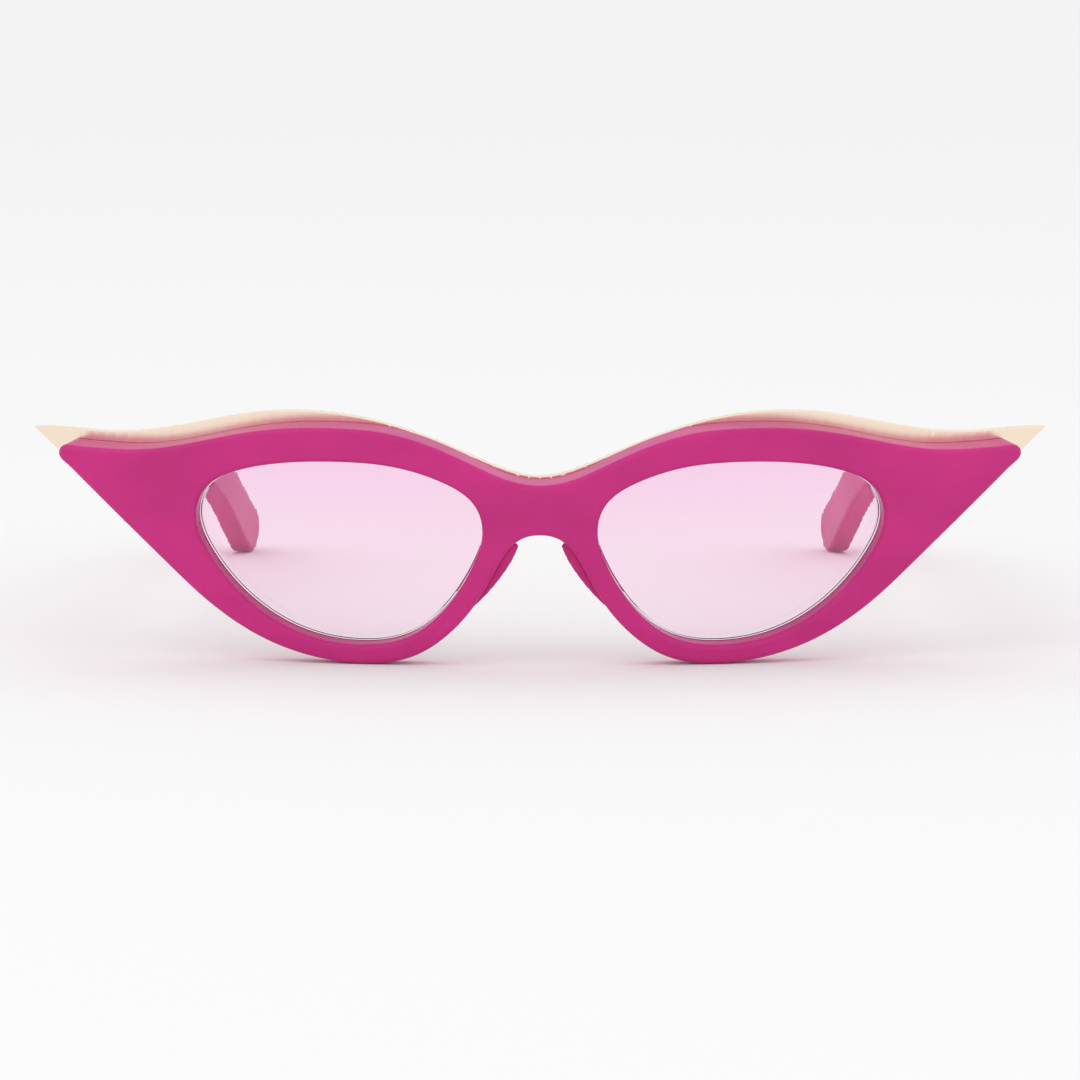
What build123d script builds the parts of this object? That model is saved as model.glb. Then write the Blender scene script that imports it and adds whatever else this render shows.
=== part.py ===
"""Cat eye sunglasses: a laminated acetate front, a metal brow plate, two lenses and two hinged temples.

Every shape of the front is drawn in the front's own frame: X across the face, Y from the front surface
towards the wearer, Z up the front.  place_front() then leans that frame by the tilt of the front.
The temples are drawn straight in the frame of the finished glasses.  All sizes are in millimetres.
"""
import os
from math import asin, cos, degrees, radians, sin, sqrt

from build123d import *

# ---- front ----
FRONT_WRAP_RADIUS = 220.0       # the front is bent to this cylinder, standing on end
FRONT_TILT = 8.0                # degrees, the brow leans away from the wearer
FRONT_HEIGHT_OVER_FLOOR = 22.0  # datum of the front over the floor, before the final placing
ACETATE_THICKNESS = 5.5

# ---- lenses ----
LENS_CENTRE_U = 34.0
LENS_SETBACK = 3.0              # depth of the lens behind the front surface
LENS_THICKNESS = 2.0
LENS_TONGUE_HEIGHT = 0.6        # tongue round the lens, held by the groove of the rim
LENS_TONGUE_WIDTH = 0.6
LENS_CLEARANCE = 0.08

# ---- brow plate ----
PLATE_THICKNESS = 1.2
PLATE_SCREW_RADIUS = 0.6
PLATE_SCREW_HEAD_RADIUS = 1.1
PLATE_SCREW_HEAD_HEIGHT = 0.35
PLATE_SCREW_DEPTH = 3.0
PLATE_SCREW_PLACES = ((24.0, 15.6), (47.0, 15.4), (76.0, 8.6))

# ---- nose pads ----
PAD_FRONT_DEPTH = 1.8
PAD_BACK_DEPTH = 9.0
PAD_SPLAY = 1.3                 # how far the back of a pad spreads away from the nose
PAD_SPLAY_AT_RIM = 0.7          # the same, on the pad's side towards the lens

# ---- hinges ----
HINGE_HEIGHT_V = 2.7            # middle of the hinge up the front
HINGE_INSET = 2.4               # hinge axis inside the temple's inner face
BARREL_RADIUS = 1.5
KNUCKLE_HEIGHT = 1.6
KNUCKLE_GAP = 0.1
KNUCKLE_COUNT = 5
SCREW_RADIUS = 0.7
SCREW_HEAD_RADIUS = 1.2
SCREW_HEAD_HEIGHT = 0.6
RUNNING_CLEARANCE = 0.05
SEAT_CLEARANCE = 0.02
FRONT_LEAF_THICKNESS = 1.0
FRONT_LEAF_WIDTH = 5.6
TEMPLE_LEAF_THICKNESS = 0.7
TEMPLE_LEAF_LENGTH = 10.0
TEMPLE_LEAF_HEIGHT = 7.0
RIVET_RADIUS = 0.55
RIVET_HEAD_RADIUS = 0.9
RIVET_HEAD_HEIGHT = 0.3
RIVET_DEPTH = 2.4

# ---- temples ----
TEMPLE_INNER_X = 67.5           # inner face at the hinge
TEMPLE_THICKNESS = 4.0
TEMPLE_ROOT_TOP = 33.0
TEMPLE_ROOT_BOTTOM = 22.0
TEMPLE_BEND_Y = 114.0           # where the temple turns down behind the ear
TEMPLE_TIP_Y = 149.5            # middle of the round end
TEMPLE_TIP_X = 59.6
TIP_RADIUS = 4.5
TIP_ANGLE = 32.0                # degrees below level
TEMPLE_END_GAP = 0.25           # between the open temple and the brow plate
TEMPLE_CORNER_CUT = 1.2         # bevel of the outer corner next to the brow plate
CORE_HALF_HEIGHT = 0.8
CORE_HALF_WIDTH = 0.6

TOP_EDGE = [(0, 8.8), (6.0, 9.95), (10.1, 11.75), (18.1, 15.3), (26.1, 17.5), (34.2, 18.0),
            (42.3, 17.65), (50.5, 16.3), (58.8, 14.2), (67.2, 12.45), (75.6, 12.05), (79.6, 12.0)]
TIP_MIDDLE = (82.1, 10.9)
LOWER_TIP = (80.7, 8.9)
LOWER_EDGE_END = (60.0, -10.2)
RIM_EDGE = [(57.6, -12.3), (54.9, -14.4), (46.7, -19.25), (38.6, -21.85), (29.4, -22.7), (21.6, -21.3),
            (16.2, -17.9),
            (11.3, -12.5), (8.9, -8.6), (6.9, -4.9), (4.6, -1.5), (2.3, -0.05), (0, 0.26)]
OPENING = [(9.7, 1.4), (11.9, 6.4), (16.4, 9.2), (24.4, 11.6), (34.0, 12.2), (45.8, 11.2), (51.6, 9.7),
           (56.7, 6.6), (58.6, 1.2), (56.3, -5.0), (49.8, -12.5), (40.6, -17.8), (31.5, -19.4),
           (21.9, -17.6), (15.1, -11.6), (10.9, -4.3)]
PLATE_TOP = [(0, 9.15), (8.1, 11.2), (16.1, 14.6), (24.2, 17.45), (32.2, 19.1), (40.3, 19.5),
             (48.5, 18.7), (56.8, 16.8), (65.1, 14.8), (73.5, 13.75), (82.0, 13.6), (86.6, 13.2)]
PLATE_WING = [(82.3, 9.5), (79.6, 8.7), (67.0, -2.4)]
PLATE_INNER = [(61.6, -3.2), (60.9, 1.2), (59.0, 7.4), (52.6, 11.9), (45.8, 13.4), (34.0, 14.4),
               (24.2, 13.7), (15.8, 11.0), (8.4, 7.4), (3.6, 6.2), (0, 6.0)]
PAD_OUTLINE = [(3.6, -2.1), (4.95, -5.0), (6.9, -7.9), (9.7, -11.2), (11.9, -13.0),
               (10.9, -9.6), (8.9, -5.4), (6.4, -2.2)]


def front_y(u, depth=0.0):
    """Y of the curved surface that lies `depth` behind the front surface."""
    radius = FRONT_WRAP_RADIUS - depth
    return FRONT_WRAP_RADIUS - sqrt(radius ** 2 - u ** 2)


def wrap_cylinder(depth):
    """Everything behind the surface that lies `depth` behind the front surface."""
    return Pos(0, FRONT_WRAP_RADIUS, 0) * Cylinder(FRONT_WRAP_RADIUS - depth, 120)


def wrap_shell(depth, thickness):
    """A bent sheet that starts `depth` behind the front surface."""
    return wrap_cylinder(depth) - wrap_cylinder(depth + thickness)


def outline_prism(outline, start=-5.0, length=60.0):
    """Pushes an outline of the X-Z plane back along Y."""
    plane = Plane(origin=(0, start, 0), x_dir=(1, 0, 0), z_dir=(0, -1, 0))
    return extrude(plane * outline, amount=-length)


def unit(start, end):
    """Direction from one point to the next."""
    return (Vector(*end) - Vector(*start)).normalized()


def whole(half_points):
    """A row of points that starts on the middle line, with its mirror image before it."""
    return [(-u, v) for u, v in reversed(half_points[1:])] + half_points


def both_sides(pieces):
    """Lines of the +X side with their mirror images."""
    return pieces + [piece.mirror(Plane.YZ) for piece in pieces]


def front_outline():
    """Outline of the acetate front."""
    top = Spline(*whole(TOP_EDGE))
    tip = ThreePointArc(TOP_EDGE[-1], TIP_MIDDLE, LOWER_TIP)
    wing = Line(LOWER_TIP, LOWER_EDGE_END)
    rim = Spline(*whole([*reversed(RIM_EDGE), LOWER_EDGE_END]))
    return make_face([top, rim, *both_sides([tip, wing])])


def plate_outline():
    """Outline of the brow plate: pointed tips that reach past the acetate."""
    top = Spline(*whole(PLATE_TOP))
    wing = Polyline(PLATE_TOP[-1], *PLATE_WING, PLATE_INNER[0])
    inner = Spline(*whole([*reversed(PLATE_INNER)]))
    return make_face([top, inner, *both_sides([wing])])


def grown_opening(grow):
    """Points of the lens opening, moved outwards by `grow`, about the middle of the lens."""
    moved = []
    for i, (u, v) in enumerate(OPENING):
        along = unit(OPENING[i - 1], OPENING[(i + 1) % len(OPENING)])
        moved.append((u - LENS_CENTRE_U - grow * along.Y, v + grow * along.X))
    return moved


def lens_prism(grow, side):
    """The lens opening, grown outwards, cut square to the lens and not to the whole front."""
    outline = make_face(Spline(*grown_opening(grow), periodic=True))
    lens_turn = degrees(asin(LENS_CENTRE_U / FRONT_WRAP_RADIUS))
    prism = Pos(LENS_CENTRE_U, front_y(LENS_CENTRE_U), 0) * Rotation(0, 0, lens_turn)
    prism = prism * outline_prism(outline, -12, 40)
    return prism if side > 0 else prism.mirror(Plane.YZ)


def lens_solid(side):
    """A lens with its tongue."""
    tongue_depth = LENS_SETBACK + (LENS_THICKNESS - LENS_TONGUE_WIDTH) / 2
    body = lens_prism(-LENS_CLEARANCE, side) & wrap_shell(LENS_SETBACK, LENS_THICKNESS)
    tongue = lens_prism(LENS_TONGUE_HEIGHT, side) & wrap_shell(tongue_depth, LENS_TONGUE_WIDTH)
    return body + tongue


def lens_groove(side):
    """Room in the rim for the tongue of the lens."""
    width = LENS_TONGUE_WIDTH + 2 * LENS_CLEARANCE
    depth = LENS_SETBACK + (LENS_THICKNESS - width) / 2
    return lens_prism(LENS_TONGUE_HEIGHT + LENS_CLEARANCE, side) & wrap_shell(depth, width)


def surface_pin(u, v, depth_from, depth_to, radius):
    """A round pin square to the bent front at (u, v), from one depth to another."""
    inward = Vector(-u, sqrt(FRONT_WRAP_RADIUS ** 2 - u ** 2), 0).normalized()
    foot = Vector(u, front_y(u), v) + inward * depth_from
    return extrude(Plane(origin=foot, z_dir=inward) * Circle(radius), amount=depth_to - depth_from)


def headed_pin(u, v, plate_depth, reach, radius, head_radius, head_height):
    """A pin that goes forward from plate_depth, with its head behind it."""
    shank = surface_pin(u, v, plate_depth - reach, plate_depth, radius)
    return shank + surface_pin(u, v, plate_depth, plate_depth + head_height, head_radius)


def place_front(shape):
    """Leans a shape of the front and lifts it over the floor."""
    return Pos(0, 0, FRONT_HEIGHT_OVER_FLOOR) * Rotation(FRONT_TILT, 0, 0) * shape


PLATE_BACK = ACETATE_THICKNESS + PLATE_THICKNESS
LEAF_BACK = PLATE_BACK + FRONT_LEAF_THICKNESS
AXIS_U = TEMPLE_INNER_X - HINGE_INSET
AXIS_Y = front_y(AXIS_U, LEAF_BACK) + BARREL_RADIUS + 0.2
HINGE_HEIGHT = KNUCKLE_COUNT * KNUCKLE_HEIGHT + (KNUCKLE_COUNT - 1) * KNUCKLE_GAP


def knuckle_places(first):
    """Middle heights of every second knuckle, from the first one given."""
    pitch = KNUCKLE_HEIGHT + KNUCKLE_GAP
    lowest = HINGE_HEIGHT_V - pitch * (KNUCKLE_COUNT - 1) / 2
    return [lowest + pitch * i for i in range(first, KNUCKLE_COUNT, 2)]


def hinge_bore(clearance):
    """The hole along the hinge axis."""
    return Pos(AXIS_U, AXIS_Y, HINGE_HEIGHT_V) * Cylinder(SCREW_RADIUS + clearance, 3 * HINGE_HEIGHT)


def front_rivet_places():
    """The two rivets of the front leaf, (u, v)."""
    u = AXIS_U - BARREL_RADIUS - RIVET_HEAD_RADIUS - 0.2
    reach = HINGE_HEIGHT / 2 - RIVET_HEAD_RADIUS - 0.5
    return [(u, HINGE_HEIGHT_V - reach), (u, HINGE_HEIGHT_V + reach)]


def front_rivets(side):
    """Rivets that hold the front leaf to the plate and the acetate."""
    pins = [headed_pin(u, v, LEAF_BACK, FRONT_LEAF_THICKNESS + PLATE_THICKNESS + RIVET_DEPTH,
                       RIVET_RADIUS, RIVET_HEAD_RADIUS, RIVET_HEAD_HEIGHT) for u, v in front_rivet_places()]
    return [pin if side > 0 else pin.mirror(Plane.YZ) for pin in pins]


def plate_screws():
    """Small pins that hold the brow plate to the acetate."""
    pins = [headed_pin(u, v, PLATE_BACK, PLATE_THICKNESS + PLATE_SCREW_DEPTH, PLATE_SCREW_RADIUS,
                       PLATE_SCREW_HEAD_RADIUS, PLATE_SCREW_HEAD_HEIGHT) for u, v in PLATE_SCREW_PLACES]
    return pins + [pin.mirror(Plane.YZ) for pin in pins]


def front_hinge():
    """Front leaf with its knuckles, for the +X side."""
    leaf = Pos(AXIS_U + 1.8 - FRONT_LEAF_WIDTH / 2, AXIS_Y, HINGE_HEIGHT_V)
    leaf = leaf * Box(FRONT_LEAF_WIDTH, 20, HINGE_HEIGHT) & wrap_shell(PLATE_BACK, FRONT_LEAF_THICKNESS)
    for v in knuckle_places(0):
        place = Pos(AXIS_U, AXIS_Y, v)
        web = place * Pos(0, -2, 0) * Box(2 * BARREL_RADIUS - 0.4, 4, KNUCKLE_HEIGHT)
        leaf += place * Cylinder(BARREL_RADIUS, KNUCKLE_HEIGHT)
        leaf += web & wrap_cylinder(PLATE_BACK)
    return leaf - hinge_bore(SEAT_CLEARANCE)


def axis_in_room():
    """A point of the hinge axis in the frame of the finished glasses."""
    v = HINGE_HEIGHT_V
    tilt = radians(FRONT_TILT)
    return AXIS_Y * cos(tilt) - v * sin(tilt), FRONT_HEIGHT_OVER_FLOOR + v * cos(tilt) + AXIS_Y * sin(tilt)


def temple_hinge():
    """Temple leaf with its knuckles, for the +X side, in the frame of the glasses."""
    axis_y = axis_in_room()[0]
    leaf_z = (TEMPLE_ROOT_TOP + TEMPLE_ROOT_BOTTOM) / 2
    leaf = Pos(TEMPLE_INNER_X - TEMPLE_LEAF_THICKNESS / 2, axis_y + TEMPLE_LEAF_LENGTH / 2 - 0.5, leaf_z)
    leaf = leaf * Box(TEMPLE_LEAF_THICKNESS, TEMPLE_LEAF_LENGTH, TEMPLE_LEAF_HEIGHT)
    for v in knuckle_places(1):
        place = Pos(AXIS_U, AXIS_Y, v)
        web = place * Pos(HINGE_INSET / 2, 0.4, 0) * Box(HINGE_INSET, 2, KNUCKLE_HEIGHT)
        leaf += place_front(place * Cylinder(BARREL_RADIUS, KNUCKLE_HEIGHT) + web)
    return leaf - place_front(hinge_bore(RUNNING_CLEARANCE))


def hinge_screw():
    """The screw of a hinge, from above, for the +X side."""
    shank = Pos(AXIS_U, AXIS_Y, HINGE_HEIGHT_V) * Cylinder(SCREW_RADIUS, HINGE_HEIGHT)
    top = HINGE_HEIGHT_V + HINGE_HEIGHT / 2
    head = Pos(AXIS_U, AXIS_Y, top + SCREW_HEAD_HEIGHT / 2) * Cylinder(SCREW_HEAD_RADIUS, SCREW_HEAD_HEIGHT)
    slot = Pos(AXIS_U, AXIS_Y, top + SCREW_HEAD_HEIGHT) * Box(3 * SCREW_RADIUS, 0.35, 0.5)
    return shank + head - slot


def temple_rivets():
    """Rivets from the temple leaf into the temple, for the +X side."""
    axis_y = axis_in_room()[0]
    rivets = []
    for along in (4.4, 7.6):
        plane = Plane(origin=(TEMPLE_INNER_X - TEMPLE_LEAF_THICKNESS, axis_y + along,
                              (TEMPLE_ROOT_TOP + TEMPLE_ROOT_BOTTOM) / 2), z_dir=(1, 0, 0))
        shank = extrude(plane * Circle(RIVET_RADIUS), amount=TEMPLE_LEAF_THICKNESS + RIVET_DEPTH)
        rivets.append(shank + extrude(plane * Circle(RIVET_HEAD_RADIUS), amount=-RIVET_HEAD_HEIGHT))
    return rivets


def side_prism(face):
    """Pushes a side view, drawn as (y, z), right through the temple along X."""
    plane = Plane(origin=(0, 0, 0), x_dir=(0, 1, 0), z_dir=(1, 0, 0))
    return extrude(plane * face, amount=2 * TEMPLE_INNER_X)


def plan_prism(face):
    """Pushes a view from above, drawn as (x, y), right through the temple along Z."""
    return Pos(0, 0, -20) * extrude(face, amount=100)


def tip_point(along, across):
    """A point near the round end of the temple, in side view, from the middle of that end."""
    down = radians(TIP_ANGLE)
    return (TEMPLE_TIP_Y + along * cos(down) + across * sin(down),
            TIP_RADIUS - along * sin(down) + across * cos(down))


def temple_side():
    """Side view of a temple: a level arm that turns down to a round end."""
    bend = TEMPLE_BEND_Y
    down = (cos(radians(TIP_ANGLE)), -sin(radians(TIP_ANGLE)))
    top_points = [(10, TEMPLE_ROOT_TOP), (0.4 * bend, TEMPLE_ROOT_TOP - 1.3), (0.7 * bend, TEMPLE_ROOT_TOP - 3.2),
                  (bend - 5, TEMPLE_ROOT_TOP - 4.8), tip_point(-24, TIP_RADIUS - 0.5), tip_point(0, TIP_RADIUS)]
    low_points = [tip_point(0, -TIP_RADIUS), tip_point(-24, 0.6 - TIP_RADIUS), (bend - 3, TEMPLE_ROOT_BOTTOM - 1.7),
                  (0.7 * bend, TEMPLE_ROOT_BOTTOM - 0.5), (0.4 * bend, TEMPLE_ROOT_BOTTOM), (10, TEMPLE_ROOT_BOTTOM)]
    top = Spline(*top_points, tangents=[(1, 0), down])
    end = ThreePointArc(top_points[-1], tip_point(TIP_RADIUS, 0), low_points[0])
    low = Spline(*low_points, tangents=[(-down[0], -down[1]), (-1, 0)])
    root = Line(low_points[-1], top_points[0])
    return make_face(Curve() + [top, end, low, root])


def plan_line(shift):
    """Points of the temple from above, `shift` outside its inner face: straight, then bent inwards."""
    return [(TEMPLE_INNER_X + shift, 34.0), (TEMPLE_INNER_X - 1.2 + shift, 0.7 * TEMPLE_BEND_Y),
            (TEMPLE_INNER_X - 2.8 + shift, TEMPLE_BEND_Y), (TEMPLE_TIP_X + 1.3 + shift, TEMPLE_BEND_Y + 19),
            (TEMPLE_TIP_X - 2.0 + shift, TEMPLE_TIP_Y + 1), (TEMPLE_TIP_X - 3.6 + shift, TEMPLE_TIP_Y + 8)]


def temple_plan(inner, outer, start):
    """A band from above between two shifts of the inner face, from `start` to past the round end."""
    inner_line = plan_line(inner)
    outer_line = plan_line(outer)
    end_way = unit(inner_line[-2], inner_line[-1])
    sides = [Line((TEMPLE_INNER_X + inner, start), inner_line[0]),
             Spline(*inner_line, tangents=[(0, 1), end_way]),
             Line(inner_line[-1], outer_line[-1]),
             Spline(*outer_line, tangents=[(0, 1), end_way]),
             Line(outer_line[0], (TEMPLE_INNER_X + outer, start)),
             Line((TEMPLE_INNER_X + outer, start), (TEMPLE_INNER_X + inner, start))]
    return make_face(Curve() + sides)


def core_wire():
    """The steel wire inside a temple, for the +X side."""
    middle = TEMPLE_THICKNESS / 2
    bend = TEMPLE_BEND_Y
    start = 36.0
    centre_z = (TEMPLE_ROOT_TOP + TEMPLE_ROOT_BOTTOM) / 2
    places = [(start, centre_z - 0.4), (0.7 * bend, centre_z - 1.9), (bend - 4, centre_z - 3.4),
              tip_point(-24, 0), tip_point(-4, 0)]
    upper = Spline(*[(y, z + CORE_HALF_HEIGHT) for y, z in places])
    lower = Spline(*[(y, z - CORE_HALF_HEIGHT) for y, z in places])
    ends = [Line(upper @ 0, lower @ 0), Line(upper @ 1, lower @ 1)]
    side = side_prism(make_face(Curve() + [upper, lower, *ends]))
    return side & plan_prism(temple_plan(middle - CORE_HALF_WIDTH, middle + CORE_HALF_WIDTH, 10))


def temple_arm():
    """A temple, for the +X side, mitred to the back of the brow plate."""
    arm = side_prism(temple_side()) & plan_prism(temple_plan(0, TEMPLE_THICKNESS, 5))
    arm = arm & place_front(wrap_cylinder(PLATE_BACK + TEMPLE_END_GAP))
    outer_x = TEMPLE_INNER_X + TEMPLE_THICKNESS
    corner = Pos(outer_x, front_y(outer_x, PLATE_BACK + TEMPLE_END_GAP), 0) * Rotation(0, 0, 45)
    return arm - place_front(corner * Box(TEMPLE_CORNER_CUT * sqrt(2), TEMPLE_CORNER_CUT * sqrt(2), 80))


def nose_pad(front):
    """A nose pad, for the +X side: it lies along the nose edge of the rim and spreads backwards."""
    pad_back = [(u + PAD_SPLAY, v) for u, v in PAD_OUTLINE[:4]]
    pad_back += [(u + PAD_SPLAY_AT_RIM, v) for u, v in PAD_OUTLINE[4:]]
    sections = []
    for depth, points in ((PAD_FRONT_DEPTH, PAD_OUTLINE), (PAD_BACK_DEPTH, pad_back)):
        plane = Plane(origin=(0, depth, 0), x_dir=(1, 0, 0), z_dir=(0, -1, 0))
        sections.append(plane * make_face(Spline(*points, periodic=True)))
    pad = loft(sections, ruled=True) - front
    return max(pad.solids(), key=lambda solid: solid.volume)


def front_acetate():
    """The acetate front with its two rims."""
    front = outline_prism(front_outline()) & wrap_shell(0, ACETATE_THICKNESS)
    for side in (1, -1):
        front -= lens_prism(0, side)
    return front


def build():
    """Every piece, by name, standing on the floor."""
    nodes = {}
    front = front_acetate()
    pad = nose_pad(front)
    for side in (1, -1):
        front -= lens_groove(side)
    plate = outline_prism(plate_outline()) & wrap_shell(ACETATE_THICKNESS, PLATE_THICKNESS)
    screws = plate_screws()
    rivets = {side: front_rivets(side) for side in (1, -1)}
    for pin in [*screws, *rivets[1], *rivets[-1]]:
        front -= pin
        plate -= pin
    nodes["front_frame"] = place_front(front)
    nodes["brow_plate"] = place_front(plate)
    nodes["brow_plate_screws"] = place_front(Compound(screws))
    for side, name in ((1, "left"), (-1, "right")):
        nodes[f"lens_{name}"] = place_front(lens_solid(side))
        hinge = front_hinge()
        screw = hinge_screw()
        leaf = temple_hinge()
        pins = temple_rivets()
        wire = core_wire()
        arm = temple_arm() - wire
        for pin in front_rivets(1):
            hinge -= pin
        for pin in pins:
            leaf -= pin
            arm -= pin
        made = {"nose_pad": place_front(pad), "front_hinge": place_front(hinge),
                "hinge_screw": place_front(screw), "temple": arm, "temple_hinge": leaf,
                "temple_hinge_rivets": Compound(pins), "core_wire": wire}
        for piece, shape in made.items():
            nodes[f"{piece}_{name}"] = shape if side > 0 else shape.mirror(Plane.YZ)
        nodes[f"front_hinge_rivets_{name}"] = place_front(Compound(rivets[side]))
    return nodes


def main():
    """Stands the glasses on the floor, centred on the origin, and writes one file per piece."""
    os.makedirs("parts", exist_ok=True)
    nodes = build()
    boxes = [shape.bounding_box() for shape in nodes.values()]
    front_y_limit = min(box.min.Y for box in boxes)
    back_y_limit = max(box.max.Y for box in boxes)
    base = Location((0, -(front_y_limit + back_y_limit) / 2, -min(box.min.Z for box in boxes)))
    axis_y, axis_z = axis_in_room()
    print("moved by", base.position)
    print("hinge axis point", AXIS_U, axis_y + base.position.Y, axis_z + base.position.Z)
    for name, shape in nodes.items():
        export_step(base * shape, f"parts/{name}.step")


main()
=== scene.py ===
"""Cat eye sunglasses: polished acetate, brow plate, tinted lenses and the studio they stand in."""
from math import asin, cos, degrees, pi, radians, sin, sqrt

import bmesh
import bpy
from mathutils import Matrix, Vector


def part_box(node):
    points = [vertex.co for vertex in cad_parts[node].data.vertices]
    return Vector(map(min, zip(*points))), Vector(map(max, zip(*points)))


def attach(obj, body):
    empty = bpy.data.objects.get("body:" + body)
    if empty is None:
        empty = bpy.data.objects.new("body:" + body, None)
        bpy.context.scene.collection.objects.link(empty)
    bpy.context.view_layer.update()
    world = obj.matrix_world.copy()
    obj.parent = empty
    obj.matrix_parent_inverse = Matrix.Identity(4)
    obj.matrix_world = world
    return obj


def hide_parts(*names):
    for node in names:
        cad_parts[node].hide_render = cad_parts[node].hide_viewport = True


bl_info = {
    "name": "Cat eye sunglasses",
    "version": (1, 0, 0),
    "blender": (4, 5, 0),
    "location": "3D View > Sidebar > Sunglasses",
    "description": "Finishes a pair of cat eye sunglasses round its fixed construction",
    "category": "Object",
}

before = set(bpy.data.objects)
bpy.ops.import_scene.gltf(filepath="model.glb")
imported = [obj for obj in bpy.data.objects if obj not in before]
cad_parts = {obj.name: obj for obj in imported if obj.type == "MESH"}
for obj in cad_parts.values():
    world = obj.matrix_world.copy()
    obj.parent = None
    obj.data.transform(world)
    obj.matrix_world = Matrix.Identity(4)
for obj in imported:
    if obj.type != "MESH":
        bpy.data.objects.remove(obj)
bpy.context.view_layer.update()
MM = 0.001

# ---- the bent front, as constructed ----
WRAP_RADIUS = 220.0             # the front is bent to this cylinder
FRONT_TILT = radians(8.0)
FRONT_DATUM = Vector((0.0, -76.276, 22.205))    # middle of the front surface, at the height of the datum
ACETATE_DEPTH = (0.0, 5.5)      # front and back of the acetate, behind the front surface
PLATE_DEPTH = (5.5, 6.7)
LENS_DEPTH = (3.0, 5.0)
LENS_MIDDLE = 34.0

CAMERA_DISTANCE = 700.0         # from the front surface, along Y
CAMERA_HEIGHT = 113.9
CAMERA_PITCH = 7.49             # degrees below level
CAMERA_LENS = 141.2


def to_flat(point):
    """A point of the room, in metres, as (across, depth, up) of the unrolled front, in millimetres."""
    p = Vector(point) / MM - FRONT_DATUM
    back = p.y * cos(FRONT_TILT) + p.z * sin(FRONT_TILT)
    up = -p.y * sin(FRONT_TILT) + p.z * cos(FRONT_TILT)
    reach = sqrt(p.x ** 2 + (WRAP_RADIUS - back) ** 2)
    return Vector((p.x * WRAP_RADIUS / reach, WRAP_RADIUS - reach, up))


def to_room(flat):
    """The opposite of to_flat."""
    across, depth, up = flat
    slope = across / WRAP_RADIUS
    rise = sqrt(1 - slope ** 2)
    x = across - depth * slope
    back = WRAP_RADIUS - (WRAP_RADIUS - depth) * rise
    y = back * cos(FRONT_TILT) - up * sin(FRONT_TILT)
    z = back * sin(FRONT_TILT) + up * cos(FRONT_TILT)
    return (Vector((x, y, z)) + FRONT_DATUM) * MM


def surface_loops(node, depth):
    """The closed outlines of a CAD node's face that lies at that depth, as lists of (across, up)."""
    bm = bmesh.new()
    bm.from_mesh(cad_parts[node].data)
    bmesh.ops.remove_doubles(bm, verts=bm.verts, dist=5e-7)
    flat = {v: to_flat(v.co) for v in bm.verts}
    on_face = {f for f in bm.faces if all(abs(flat[v].y - depth) < 0.04 for v in f.verts)}
    links = {}
    for edge in bm.edges:
        if sum(f in on_face for f in edge.link_faces) == 1:
            a, b = edge.verts
            links.setdefault(a, []).append(b)
            links.setdefault(b, []).append(a)
    loops = []
    while links:
        chain = [next(iter(links))]
        used = set(chain)
        nexts = links[chain[0]]
        while nexts:
            chain.append(nexts[0])
            used.add(nexts[0])
            nexts = [v for v in links[chain[-1]] if v not in used]
        for v in chain:
            links.pop(v, None)
        for vert, near in links.items():
            links[vert] = [v for v in near if v not in used]
        if len(chain) > 8:
            loops.append([Vector((flat[v].x, flat[v].z)) for v in chain])
    bm.free()
    return sorted(loops, key=lambda loop: -abs(area(loop)))


def area(loop):
    """Signed area inside a closed outline."""
    return sum(a.x * b.y - b.x * a.y for a, b in zip(loop, loop[1:] + loop[:1])) / 2


def even_loop(loop, spacing, corner=radians(32)):
    """The same outline, counter-clockwise, with even spacing and smooth between its corners."""
    if area(loop) < 0:
        loop = loop[::-1]
    clean = [p for i, p in enumerate(loop) if (p - loop[i - 1]).length > 0.02]
    count = len(clean)
    turn = [abs((clean[i] - clean[i - 1]).angle_signed(clean[(i + 1) % count] - clean[i])) for i in range(count)]
    corners = [i for i in range(count) if turn[i] > corner] or [0]
    closed = len(corners) == 1 and turn[corners[0]] <= corner
    result = []
    for a, b in zip(corners, corners[1:] + [corners[0] + count]):
        run = [clean[i % count] for i in range(a, b + 1)]
        before = clean[a - 1] if closed else 2 * run[0] - run[1]
        after = clean[(b + 1) % count] if closed else 2 * run[-1] - run[-2]
        points = [before, *run, after]
        spans = [max((q - p).length, 1e-6) for p, q in zip(points, points[1:])]
        ways = [(p - o) * s / r + (q - p) * r / s for o, p, q, r, s in
                zip(points, points[1:], points[2:], spans, spans[1:])]
        ways = [way / (r + s) for way, r, s in zip(ways, spans, spans[1:])]
        fine = []
        for i, (p, q) in enumerate(zip(run, run[1:])):
            leave = ways[i] * min(spans[i + 1], 1.5 * spans[i])
            reach = ways[i + 1] * min(spans[i + 1], 1.5 * spans[i + 2])
            for k in range(8):
                t = k / 8
                fine.append(p * (1 + 2 * t) * (1 - t) ** 2 + q * (3 - 2 * t) * t * t
                            + leave * t * (1 - t) ** 2 - reach * (1 - t) * t * t)
        fine.append(run[-1])
        lengths = [0.0]
        for p, q in zip(fine, fine[1:]):
            lengths.append(lengths[-1] + (q - p).length)
        steps = max(1, round(lengths[-1] / spacing))
        at = 0
        for k in range(steps):
            want = lengths[-1] * k / steps
            while lengths[at + 1] < want:
                at += 1
            share = (want - lengths[at]) / max(lengths[at + 1] - lengths[at], 1e-9)
            result.append(fine[at].lerp(fine[at + 1], share))
    return result


def relaxed(loop, passes):
    """The outline with small knobs polished away."""
    for _ in range(passes):
        loop = [(a + 2 * b + c) / 4 for a, b, c in zip(loop[-1:] + loop[:-1], loop, loop[1:] + loop[:1])]
    return loop


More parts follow.
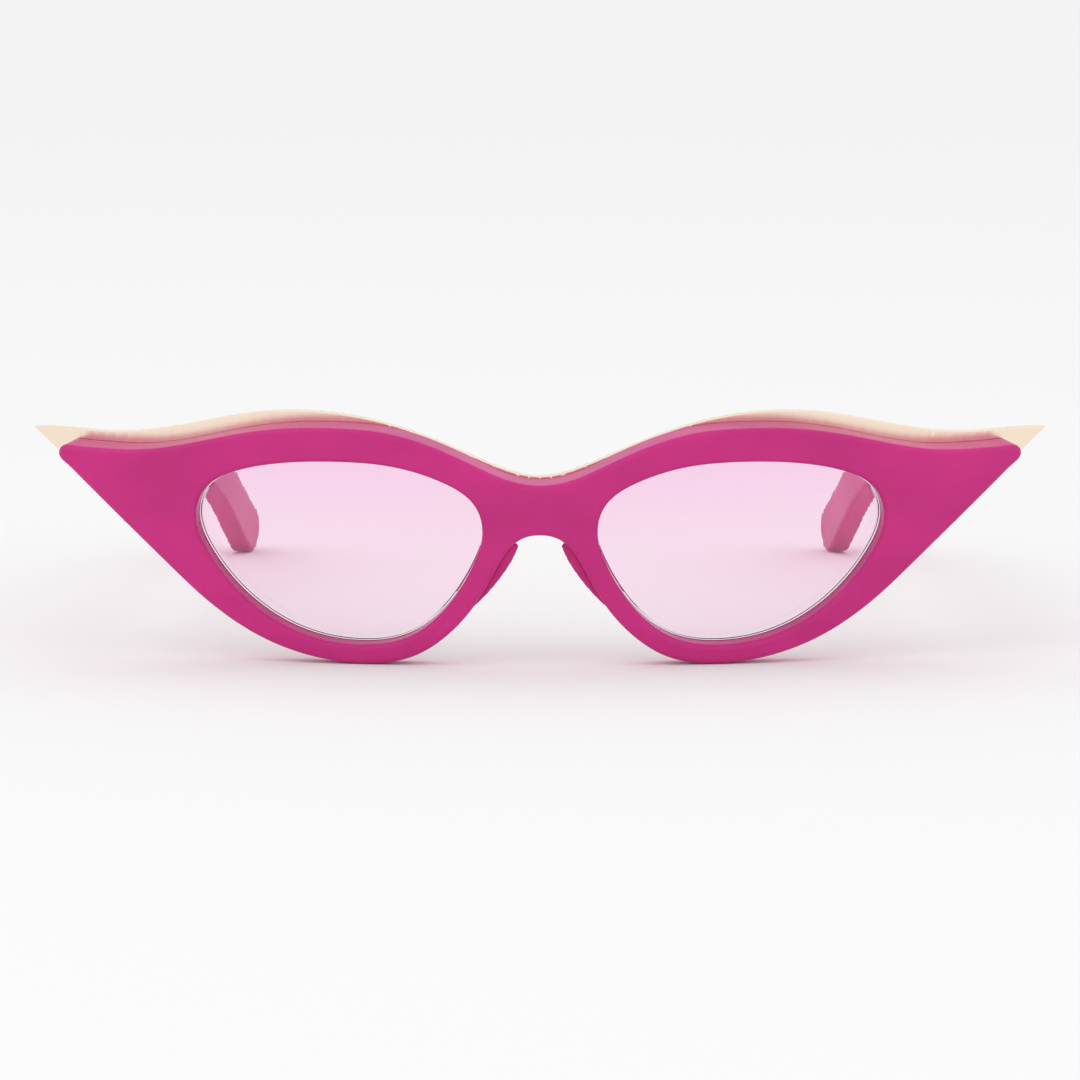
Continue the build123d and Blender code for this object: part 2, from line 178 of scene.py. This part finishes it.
def inset(loop, distance):
    """Moves a counter-clockwise outline inwards; a negative distance moves it outwards."""
    moved = []
    for i, p in enumerate(loop):
        a = (p - loop[i - 1]).normalized()
        b = (loop[(i + 1) % len(loop)] - p).normalized()
        normal = (Vector((-a.y, a.x)) + Vector((-b.y, b.x))).normalized()
        stretch = 1 / max(0.35, normal.dot(Vector((-a.y, a.x))))
        moved.append(p + normal * distance * stretch)
    return moved


def edge_profile(front, back, front_round, back_round, steps):
    """(inset, depth) of a rounded edge, from the front face round to the back face."""
    turns = [pi / 2 * k / steps for k in range(steps + 1)]
    rows = [(front_round * (1 - sin(a)), front + front_round * (1 - cos(a))) for a in turns]
    rows += [(back_round * (1 - cos(a)), back - back_round * (1 - sin(a))) for a in turns]
    return rows


def bent_slab(name, outer, holes, profile, hole_profile, lean=False):
    """A sheet of the bent front with rounded edges, cut to a fine net so that it bends smoothly."""
    bm = bmesh.new()
    first, last = [], []
    for number, loop in enumerate([outer, *holes]):
        rows = hole_profile if number else profile
        sign = -1 if number else 1
        rings = []
        for distance, depth in rows:
            ring = []
            for p in inset(loop, sign * distance):
                middle = LENS_MIDDLE if p.x > 0 else -LENS_MIDDLE
                slip = depth * (asin(p.x / WRAP_RADIUS) - asin(middle / WRAP_RADIUS)) if lean and number else 0
                ring.append(bm.verts.new((p.x + slip, depth, p.y)))
            rings.append(ring)
        for a, b in zip(rings, rings[1:]):
            for i in range(len(a)):
                bm.faces.new((a[i - 1], a[i], b[i], b[i - 1]))
        for ring, edges in ((rings[0], first), (rings[-1], last)):
            edges += [bm.edges.get((ring[i - 1], ring[i])) for i in range(len(ring))]
    for edges in (first, last):
        bmesh.ops.triangle_fill(bm, use_beauty=True, edges=edges, normal=(0, 1, 0))
    bmesh.ops.recalc_face_normals(bm, faces=bm.faces)
    step = 2.0
    across = -86.0
    while across <= 86.0:
        geom = bm.verts[:] + bm.edges[:] + bm.faces[:]
        bmesh.ops.bisect_plane(bm, geom=geom, dist=1e-4, plane_co=(across, 0, 0), plane_no=(1, 0, 0))
        across += step
    for vert in bm.verts:
        vert.co = to_room(vert.co)
    bmesh.ops.remove_doubles(bm, verts=bm.verts, dist=1e-7)
    bmesh.ops.recalc_face_normals(bm, faces=bm.faces)
    mesh = bpy.data.meshes.new(name)
    bm.to_mesh(mesh)
    bm.free()
    return add_object(name, mesh)


def add_object(name, mesh):
    """Puts a mesh in the scene as the only selected object."""
    piece = bpy.data.objects.new(name, mesh)
    bpy.context.scene.collection.objects.link(piece)
    select_only(piece)
    return piece


def select_only(piece):
    """Selects one object and makes it active."""
    bpy.ops.object.select_all(action="DESELECT")
    piece.select_set(True)
    bpy.context.view_layer.objects.active = piece


def shade(piece, angle=32):
    """Smooth shading with crisp corners and flat-looking faces."""
    select_only(piece)
    bpy.ops.object.shade_smooth_by_angle(angle=radians(angle))
    modifier = piece.modifiers.new("even_normals", "WEIGHTED_NORMAL")
    modifier.keep_sharp = True
    bpy.ops.object.modifier_apply(modifier=modifier.name)


def rounded_copy(name, node, voxel, rounds):
    """A copy of a CAD node with its sharp edges polished round."""
    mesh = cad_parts[node].data.copy()
    mesh.materials.clear()
    piece = add_object(name, mesh)
    bpy.ops.object.mode_set(mode="EDIT")
    bpy.ops.mesh.select_all(action="SELECT")
    bpy.ops.mesh.remove_doubles(threshold=1e-6)
    bpy.ops.object.mode_set(mode="OBJECT")
    remesh = piece.modifiers.new("net", "REMESH")
    remesh.mode = "VOXEL"
    remesh.voxel_size = voxel
    bpy.ops.object.modifier_apply(modifier=remesh.name)
    smooth = piece.modifiers.new("polish", "SMOOTH")
    smooth.factor = 0.5
    smooth.iterations = rounds
    bpy.ops.object.modifier_apply(modifier=smooth.name)
    bpy.ops.object.shade_smooth()
    return piece


def new_material(name):
    """A new node material and its Principled shader."""
    material = bpy.data.materials.new(name)
    material.use_nodes = True
    nodes = material.node_tree.nodes
    shader = next(n for n in nodes if n.type == "BSDF_PRINCIPLED")
    return material, nodes, material.node_tree.links, shader


def noise(nodes, links, scale, detail=3.0, stretch=(1, 1, 1)):
    """Noise on object coordinates."""
    place = nodes.new("ShaderNodeTexCoord")
    mapping = nodes.new("ShaderNodeMapping")
    mapping.inputs["Scale"].default_value = stretch
    texture = nodes.new("ShaderNodeTexNoise")
    texture.inputs["Scale"].default_value = scale
    texture.inputs["Detail"].default_value = detail
    links.new(place.outputs["Object"], mapping.inputs["Vector"])
    links.new(mapping.outputs["Vector"], texture.inputs["Vector"])
    return texture.outputs["Fac"]


def ramp(nodes, links, factor, stops):
    """A colour ramp from a factor."""
    node = nodes.new("ShaderNodeValToRGB")
    elements = node.color_ramp.elements
    while len(elements) < len(stops):
        elements.new(0.5)
    for element, (at, colour) in zip(elements, stops):
        element.position = at
        element.color = (*colour, 1) if len(colour) == 3 else colour
    links.new(factor, node.inputs["Fac"])
    return node.outputs["Color"]


def bump(nodes, links, height, strength, distance, shader):
    """Fine relief."""
    node = nodes.new("ShaderNodeBump")
    node.inputs["Strength"].default_value = strength
    node.inputs["Distance"].default_value = distance
    links.new(height, node.inputs["Height"])
    links.new(node.outputs["Normal"], shader.inputs["Normal"])


def linear(red, green, blue):
    """A colour written as it looks, 0 to 255, for a shader."""
    values = [c / 255 for c in (red, green, blue)]
    return tuple(c / 12.92 if c <= 0.04045 else ((c + 0.055) / 1.055) ** 2.4 for c in values)


def acetate_material(look):
    """Polished magenta acetate with faint clouds in it."""
    material, nodes, links, shader = new_material("magenta_acetate")
    deep = tuple(look.acetate_colour)
    clouds = ramp(nodes, links, noise(nodes, links, 55, 4, (1, 1, 2)),
                  [(0.3, tuple(0.92 * c for c in deep)), (0.7, tuple(min(1, 1.08 * c) for c in deep))])
    links.new(clouds, shader.inputs["Base Color"])
    rough = ramp(nodes, links, noise(nodes, links, 900, 2), [(0.3, (0.19,) * 3), (0.7, (0.25,) * 3)])
    links.new(rough, shader.inputs["Roughness"])
    shader.inputs["Specular IOR Level"].default_value = 0.15
    shader.inputs["Subsurface Weight"].default_value = 0.12
    shader.inputs["Subsurface Radius"].default_value = (1.0, 0.15, 0.5)
    shader.inputs["Subsurface Scale"].default_value = 0.001
    bump(nodes, links, noise(nodes, links, 220, 2), 0.05, 0.0004, shader)
    return material


def gold_material(look):
    """Pale champagne plating, polished and very lightly brushed along the brow."""
    material, nodes, links, shader = new_material("champagne_plate")
    tone = tuple(look.plate_colour)
    drift = ramp(nodes, links, noise(nodes, links, 60, 2),
                 [(0.3, tuple(0.96 * c for c in tone)), (0.7, tone)])
    links.new(drift, shader.inputs["Base Color"])
    brushed = noise(nodes, links, 900, 3, (0.05, 1, 1))
    rough = ramp(nodes, links, brushed, [(0.3, (0.24,) * 3), (0.7, (0.27,) * 3)])
    links.new(rough, shader.inputs["Roughness"])
    shader.inputs["Metallic"].default_value = 1.0
    bump(nodes, links, brushed, 0.015, 0.0001, shader)
    return material


def hinge_material():
    """Plated hinge metal, a little deeper than the plate, with fine machining marks."""
    material, nodes, links, shader = new_material("hinge_metal")
    marks = noise(nodes, links, 1400, 3, (1, 1, 0.1))
    links.new(ramp(nodes, links, marks, [(0.3, (0.62, 0.5, 0.33)), (0.7, (0.72, 0.6, 0.42))]),
              shader.inputs["Base Color"])
    links.new(ramp(nodes, links, marks, [(0.3, (0.2,) * 3), (0.7, (0.34,) * 3)]), shader.inputs["Roughness"])
    shader.inputs["Metallic"].default_value = 1.0
    bump(nodes, links, marks, 0.08, 0.0001, shader)
    return material


def wire_material():
    """Drawn nickel silver wire."""
    material, nodes, links, shader = new_material("core_wire_metal")
    lines = noise(nodes, links, 1200, 2, (1, 0.05, 1))
    links.new(ramp(nodes, links, lines, [(0.3, (0.5, 0.5, 0.5)), (0.7, (0.62, 0.62, 0.62))]),
              shader.inputs["Base Color"])
    shader.inputs["Metallic"].default_value = 1.0
    shader.inputs["Roughness"].default_value = 0.3
    return material


def lens_material(look):
    """Pink tinted lens, deeper at the brow and nearly clear below."""
    material, nodes, links, shader = new_material("pink_gradient_lens")
    shader.inputs["Roughness"].default_value = 0.0
    shader.inputs["IOR"].default_value = 1.5
    shader.inputs["Transmission Weight"].default_value = 1.0
    place = nodes.new("ShaderNodeTexCoord")
    split = nodes.new("ShaderNodeSeparateXYZ")
    height = nodes.new("ShaderNodeMapRange")
    low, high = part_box("lens_left")
    height.inputs["From Min"].default_value = low[2]
    height.inputs["From Max"].default_value = high[2]
    links.new(place.outputs["Object"], split.inputs["Vector"])
    links.new(split.outputs["Z"], height.inputs["Value"])
    brow = tuple(look.lens_colour)
    middle = tuple(1 - 0.66 * (1 - c) for c in brow)
    foot = tuple(1 - 0.44 * (1 - c) for c in brow)
    tint = ramp(nodes, links, height.outputs["Result"], [(0.0, foot), (0.5, middle), (1.0, brow)])
    links.new(tint, shader.inputs["Base Color"])
    return material


class GlassesLook(bpy.types.PropertyGroup):
    """Colours and edge sizes of the glasses."""
    acetate_colour: bpy.props.FloatVectorProperty(
        name="Acetate", description="Colour of the acetate", subtype="COLOR", min=0, max=1,
        default=(0.57, 0.03, 0.215))
    plate_colour: bpy.props.FloatVectorProperty(
        name="Plate", description="Colour of the brow plate", subtype="COLOR", min=0, max=1,
        default=linear(253, 234, 212))
    lens_colour: bpy.props.FloatVectorProperty(
        name="Lens", description="Tint of the lenses", subtype="COLOR", min=0, max=1,
        default=(0.99, 0.66, 0.86))
    edge_round: bpy.props.FloatProperty(
        name="Edge rounding", description="Polished round of the acetate's front edge, in millimetres",
        default=0.9, min=0.1, max=2.0)


class GLASSES_OT_front(bpy.types.Operator):
    """Makes the polished acetate front"""
    bl_idname = "glasses.front"
    bl_label = "Acetate front"

    def execute(self, context):
        look = context.scene.glasses_look
        outer, *holes = surface_loops("front_frame", ACETATE_DEPTH[0])
        outer = relaxed(even_loop(outer, 0.6), 4)
        holes = [even_loop(hole, 0.5) for hole in holes[:2]]
        profile = edge_profile(*ACETATE_DEPTH, look.edge_round, 0.35, 5)
        piece = bent_slab("acetate_front", outer, holes, profile, profile, lean=True)
        shade(piece)
        finish_piece(piece, "acetate", "front", "front_frame")
        return {"FINISHED"}


class GLASSES_OT_plate(bpy.types.Operator):
    """Makes the brow plate with its pointed tips"""
    bl_idname = "glasses.plate"
    bl_label = "Brow plate"

    def execute(self, context):
        outer = even_loop(surface_loops("brow_plate", PLATE_DEPTH[0])[0], 0.6)
        profile = edge_profile(*PLATE_DEPTH, 0.16, 0.16, 2)
        piece = bent_slab("champagne_brow_plate", outer, [], profile, profile)
        shade(piece)
        finish_piece(piece, "gold_plate", "front", "brow_plate")
        return {"FINISHED"}


class GLASSES_OT_lenses(bpy.types.Operator):
    """Makes the two tinted lenses"""
    bl_idname = "glasses.lenses"
    bl_label = "Lenses"

    def execute(self, context):
        for side in ("left", "right"):
            outer = even_loop(surface_loops(f"lens_{side}", LENS_DEPTH[0])[0], 0.5)
            profile = edge_profile(*LENS_DEPTH, 0.2, 0.2, 1)
            piece = bent_slab(f"tinted_lens_{side}", outer, [], profile, profile)
            shade(piece)
            finish_piece(piece, "lens", "front", f"lens_{side}")
        return {"FINISHED"}


class GLASSES_OT_pads(bpy.types.Operator):
    """Polishes the two nose pads"""
    bl_idname = "glasses.pads"
    bl_label = "Nose pads"

    def execute(self, context):
        for side in ("left", "right"):
            piece = rounded_copy(f"polished_pad_{side}", f"nose_pad_{side}", 0.0002, 6)
            finish_piece(piece, "acetate", "front", f"nose_pad_{side}")
        return {"FINISHED"}


class GLASSES_OT_temples(bpy.types.Operator):
    """Polishes the two temples"""
    bl_idname = "glasses.temples"
    bl_label = "Temples"

    def execute(self, context):
        for side in ("left", "right"):
            piece = rounded_copy(f"polished_temple_{side}", f"temple_{side}", 0.00035, 8)
            finish_piece(piece, "acetate", f"temple_{side}", f"temple_{side}")
        return {"FINISHED"}


class GLASSES_OT_metal(bpy.types.Operator):
    """Finishes the hinges, screws, rivets and core wires"""
    bl_idname = "glasses.metal"
    bl_label = "Hinges and wires"

    def execute(self, context):
        for name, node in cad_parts.items():
            if name.startswith("core_wire"):
                paint(node, MATERIALS["core_wire"])
            elif "hinge" in name or "screw" in name or "rivet" in name:
                paint(node, MATERIALS["hinge_metal"])
        return {"FINISHED"}


class GLASSES_OT_stage(bpy.types.Operator):
    """Sets the floor, the light and the camera"""
    bl_idname = "glasses.stage"
    bl_label = "Studio"

    def execute(self, context):
        bpy.ops.object.select_all(action="DESELECT")
        bpy.ops.mesh.primitive_plane_add(size=60, location=(0, 0, 0))
        floor = context.active_object
        floor.name = "studio_floor"
        material, nodes, links, shader = new_material("pale_floor")
        shader.inputs["Base Color"].default_value = (*FLOOR_COLOUR, 1)
        shader.inputs["Roughness"].default_value = 1.0
        shader.inputs["Specular IOR Level"].default_value = 0.0
        floor.data.materials.append(material)
        world = bpy.data.worlds.new("studio")
        world.use_nodes = True
        context.scene.world = world
        tree = world.node_tree
        background = tree.nodes["Background"]
        background.inputs["Color"].default_value = (1, 1, 1, 1)
        seen = tree.nodes.new("ShaderNodeMapRange")
        path = tree.nodes.new("ShaderNodeLightPath")
        seen.inputs["To Min"].default_value = WORLD_STRENGTH
        seen.inputs["To Max"].default_value = SKY_SEEN
        tree.links.new(path.outputs["Is Camera Ray"], seen.inputs["Value"])
        tree.links.new(seen.outputs["Result"], background.inputs["Strength"])
        add_lamp("key_left", (-0.9, -0.9, 1.3), 1.0, KEY_POWER)
        add_lamp("fill_right", (1.1, -0.8, 0.8), 1.0, FILL_POWER)
        camera = bpy.data.objects.new("camera", bpy.data.cameras.new("camera"))
        context.scene.collection.objects.link(camera)
        camera.data.lens = CAMERA_LENS
        camera.data.sensor_width = 36
        camera.data.clip_start = 0.01
        camera.data.clip_end = 200
        camera.location = (0, (FRONT_DATUM.y - CAMERA_DISTANCE) * MM, CAMERA_HEIGHT * MM)
        camera.rotation_euler = (radians(90 - CAMERA_PITCH), 0, 0)
        context.scene.camera = camera
        context.scene.view_settings.view_transform = "Standard"
        return {"FINISHED"}


FLOOR_COLOUR = (0.94, 0.94, 0.94)
WORLD_STRENGTH = 0.95
SKY_SEEN = 0.94
KEY_POWER = 2.6
FILL_POWER = 0.6
MATERIALS = {}


def add_lamp(name, place, size, power):
    """A square soft lamp that faces the glasses."""
    bpy.ops.object.light_add(type="AREA", location=place)
    lamp = bpy.context.active_object
    lamp.name = name
    lamp.data.size = size
    lamp.data.energy = power
    lamp.rotation_euler = (-Vector(place)).to_track_quat("-Z", "Y").to_euler()


def paint(piece, material):
    """Gives every slot of an object one material."""
    if not piece.data.materials:
        piece.data.materials.append(material)
    for slot in piece.material_slots:
        slot.link = "OBJECT"
        slot.material = material


def finish_piece(piece, slot, body, node):
    """Material, body and the CAD node that a piece stands for."""
    piece.data.materials.clear()
    piece.data.materials.append(MATERIALS[slot])
    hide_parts(node)
    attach(piece, body)


class GLASSES_PT_panel(bpy.types.Panel):
    """Lists the steps in the sidebar"""
    bl_idname = "GLASSES_PT_panel"
    bl_label = "Sunglasses"
    bl_space_type = "VIEW_3D"
    bl_region_type = "UI"
    bl_category = "Sunglasses"

    def draw(self, context):
        look = context.scene.glasses_look
        for name in ("acetate_colour", "plate_colour", "lens_colour", "edge_round"):
            self.layout.prop(look, name)
        for step in STEPS:
            self.layout.operator(step.bl_idname)


STEPS = (GLASSES_OT_front, GLASSES_OT_plate, GLASSES_OT_lenses, GLASSES_OT_pads, GLASSES_OT_temples,
         GLASSES_OT_metal, GLASSES_OT_stage)
CLASSES = (GlassesLook, *STEPS, GLASSES_PT_panel)


def register():
    """Registers the classes and the look."""
    for cls in CLASSES:
        bpy.utils.register_class(cls)
    bpy.types.Scene.glasses_look = bpy.props.PointerProperty(type=GlassesLook)


def unregister():
    """Takes the classes and the look away."""
    del bpy.types.Scene.glasses_look
    for cls in reversed(CLASSES):
        bpy.utils.unregister_class(cls)


def main():
    """Makes every piece and the studio."""
    register()
    look = bpy.context.scene.glasses_look
    MATERIALS.update(acetate=acetate_material(look), gold_plate=gold_material(look), lens=lens_material(look),
                     hinge_metal=hinge_material(), core_wire=wire_material())
    bpy.ops.glasses.front()
    bpy.ops.glasses.plate()
    bpy.ops.glasses.lenses()
    bpy.ops.glasses.pads()
    bpy.ops.glasses.temples()
    bpy.ops.glasses.metal()
    bpy.ops.glasses.stage()


if __name__ == "__main__":
    main()
